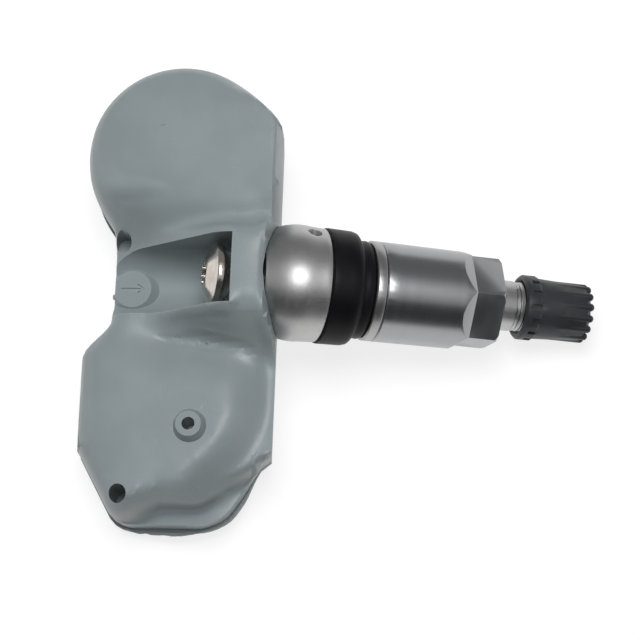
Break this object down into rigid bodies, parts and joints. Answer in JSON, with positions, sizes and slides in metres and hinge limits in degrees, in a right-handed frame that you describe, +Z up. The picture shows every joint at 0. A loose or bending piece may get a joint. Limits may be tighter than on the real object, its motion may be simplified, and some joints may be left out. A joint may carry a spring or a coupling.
{
  "type": "tyre pressure sensor",
  "caption": "Moulded wheel sensor with two lobes, a driver groove and a swivelling clamp-in metal valve with rubber seal, union nut and ribbed cap.",
  "frame": {"origin": "centre of the bounding box at its lowest level, with the sensor lying on its base's left edge and the cap's far rim", "axes": "+X from the housing towards the valve cap, +Y towards the round end of the housing, +Z up from the table"},
  "size_m": [0.0801, 0.0727, 0.0242],
  "materials": {
    "housing_plastic": "fine moulded grain, satin",
    "cover_plastic": "fine moulded grain, welded",
    "board": "solder mask",
    "cell_steel": "drawn can",
    "tab_nickel": "rolled strip",
    "chip_black": "moulded package",
    "ferrite": "sintered, wound",
    "antenna_brass": "drawn wire",
    "ceramic": "sintered",
    "soft_rubber": "moulded",
    "filter_white": "membrane",
    "stem_aluminium": "fine blasted, anodised",
    "seal_rubber": "moulded, satin",
    "screw_nickel": "nickel plated, polished",
    "washer_steel": "bright turned",
    "nut_aluminium": "turned and milled",
    "core_brass": "turned",
    "gasket_red": "moulded",
    "spring_steel": "drawn wire",
    "cap_plastic": "moulded, satin"
  },
  "bodies": {
    "sensor_body": {"housing_shell": "housing_plastic", "base_cover": "cover_plastic", "circuit_board": "board", "coin_cell": "cell_steel", "cell_tab_top": "tab_nickel", "cell_tab_bottom": "tab_nickel", "pressure_chip": "chip_black", "control_chip": "chip_black", "crystal": "tab_nickel", "lf_coil": "ferrite", "rf_antenna": "antenna_brass", "capacitors": "ceramic", "port_seal": "soft_rubber", "port_filter": "filter_white"},
    "valve": {"valve_stem": "stem_aluminium", "stem_seal": "seal_rubber", "core_barrel": "core_brass", "core_gasket": "gasket_red", "core_spring": "spring_steel"},
    "clamp": {"clamp_screw": "screw_nickel"},
    "nut_ring": {"nut_washer": "washer_steel"},
    "nut": {"union_nut": "nut_aluminium"},
    "cap_disc": {"cap_seal": "soft_rubber"},
    "cap": {"cap_shell": "cap_plastic"},
    "core": {"core_pin": "core_brass"}
  },
  "joints": [
    {"name": "valve_swivel", "type": "hinge", "parent": "sensor_body", "child": "valve", "pos_m": [-0.00726, 0.00125, 0.01507], "axis": [0, 1, 0], "range_deg": [-7, 3]},
    {"name": "clamp_turn", "type": "hinge", "parent": "valve", "child": "clamp", "pos_m": [-0.01895, 0.00125, 0.01779], "axis": [-0.974, 0, 0.2267], "range_deg": [0, 90]},
    {"name": "nut_travel", "type": "slide", "parent": "valve", "child": "nut_ring", "axis": [0.974, 0, -0.2267], "range_m": [0, 0.00375]},
    {"name": "nut_turn", "type": "hinge", "parent": "nut_ring", "child": "nut", "pos_m": [0.01222, 0.00125, 0.01053], "axis": [0.974, 0, -0.2267], "range_deg": [0, 1352]},
    {"name": "cap_travel", "type": "slide", "parent": "valve", "child": "cap_disc", "axis": [0.974, 0, -0.2267], "range_m": [0, 0.01501]},
    {"name": "cap_turn", "type": "hinge", "parent": "cap_disc", "child": "cap", "pos_m": [0.03365, 0.00125, 0.00555], "axis": [0.974, 0, -0.2267], "range_deg": [0, 6812]},
    {"name": "pin_press", "type": "slide", "parent": "valve", "child": "core", "axis": [-0.974, 0, 0.2267], "range_m": [0, 0.0018], "stiffness_N_per_m": 600, "springref_m": -0.002, "deforming": ["core_spring"]}
  ],
  "couplings": [
    {"joint": "nut_turn", "follows": "nut_travel", "rad_per_m": 6283.2},
    {"joint": "cap_turn", "follows": "cap_travel", "rad_per_m": 7913.3}
  ]
}
